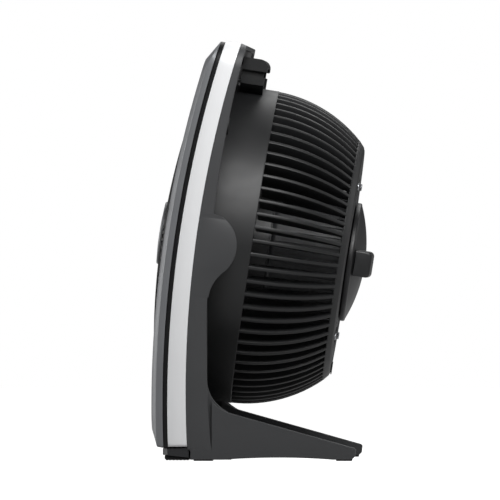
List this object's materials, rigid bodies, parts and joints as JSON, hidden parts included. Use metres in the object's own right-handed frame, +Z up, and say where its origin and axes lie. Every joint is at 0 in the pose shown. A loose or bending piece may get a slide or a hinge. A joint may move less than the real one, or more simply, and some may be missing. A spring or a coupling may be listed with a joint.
{
  "type": "air circulator fan",
  "caption": "Table air circulator with a squarish bevelled front, domed grille, round slotted back and carry handle, tilting on a two-legged base until it blows straight up.",
  "frame": {"origin": "middle of the footprint's bounding box, on the floor", "axes": "+Z up, the air leaves towards -Y (8.8 degrees upwards at rest), +X is the side seen in the picture"},
  "size_m": [0.388, 0.2176, 0.4121],
  "materials": {
    "plate_grey": "smooth mid grey plastic, satin",
    "charcoal": "fine-grained charcoal plastic",
    "black": "black plastic, satin",
    "silver_trim": "silver paint on plastic, satin",
    "black_rubber": "matte rubber",
    "blade_black": "semi-gloss black plastic",
    "steel": "plain machined steel",
    "winding": "varnished copper wire",
    "cast_aluminium": "die-cast, dull"
  },
  "bodies": {
    "base": {"leg_left": "charcoal", "leg_right": "charcoal", "crossbar": "charcoal", "front_pad_left": "black_rubber", "front_pad_right": "black_rubber", "rear_pad_left": "black_rubber", "rear_pad_right": "black_rubber", "base_screw_left": "steel", "base_screw_right": "steel", "pivot_pin_left": "steel", "pivot_pin_right": "steel", "pivot_washer_left": "black_rubber", "pivot_washer_right": "black_rubber"},
    "head": {"face_plate": "plate_grey", "front_frame": "black", "trim_strip": "silver_trim", "front_grille": "black", "grille_cap": "plate_grey", "rear_frame": "charcoal", "rear_grille": "black", "motor_bucket": "charcoal", "intake_plate": "charcoal", "cord_gland": "black_rubber", "carry_handle": "black", "chin": "charcoal", "chin_bumper": "black_rubber", "grille_screw_1": "steel", "grille_screw_2": "steel", "grille_screw_3": "steel", "grille_screw_4": "steel", "housing_screw_1": "steel", "housing_screw_2": "steel", "housing_screw_3": "steel", "housing_screw_4": "steel", "bucket_screw_1": "steel", "bucket_screw_2": "steel", "bucket_screw_3": "steel", "bucket_screw_4": "steel", "handle_screw_right": "steel", "handle_screw_left": "steel", "motor_stator": "steel", "motor_coil_front": "winding", "motor_coil_rear": "winding", "motor_bracket_front": "cast_aluminium", "motor_bracket_rear": "cast_aluminium", "bearing_front": "steel", "bearing_rear": "steel", "motor_bolt_1": "steel", "motor_bolt_2": "steel", "control_cover": "black", "speed_switch": "black"},
    "rotor": {"impeller": "blade_black", "shaft": "steel", "impeller_nut": "steel", "motor_rotor": "cast_aluminium"},
    "knob": {"speed_knob": "black", "switch_stem": "steel"}
  },
  "joints": [
    {"name": "tilt", "type": "hinge", "parent": "base", "child": "head", "pos_m": [0, -0.03605, 0.2009], "axis": [-1, 0, 0], "range_deg": [0, 81]},
    {"name": "spin", "type": "hinge", "parent": "head", "child": "rotor", "pos_m": [0, -0.02945, 0.21283], "axis": [0, -0.9882, 0.153], "continuous": true},
    {"name": "speed", "type": "hinge", "parent": "head", "child": "knob", "pos_m": [0, 0.08321, 0.19539], "axis": [0, -0.9882, 0.153], "range_deg": [0, 135]}
  ]
}
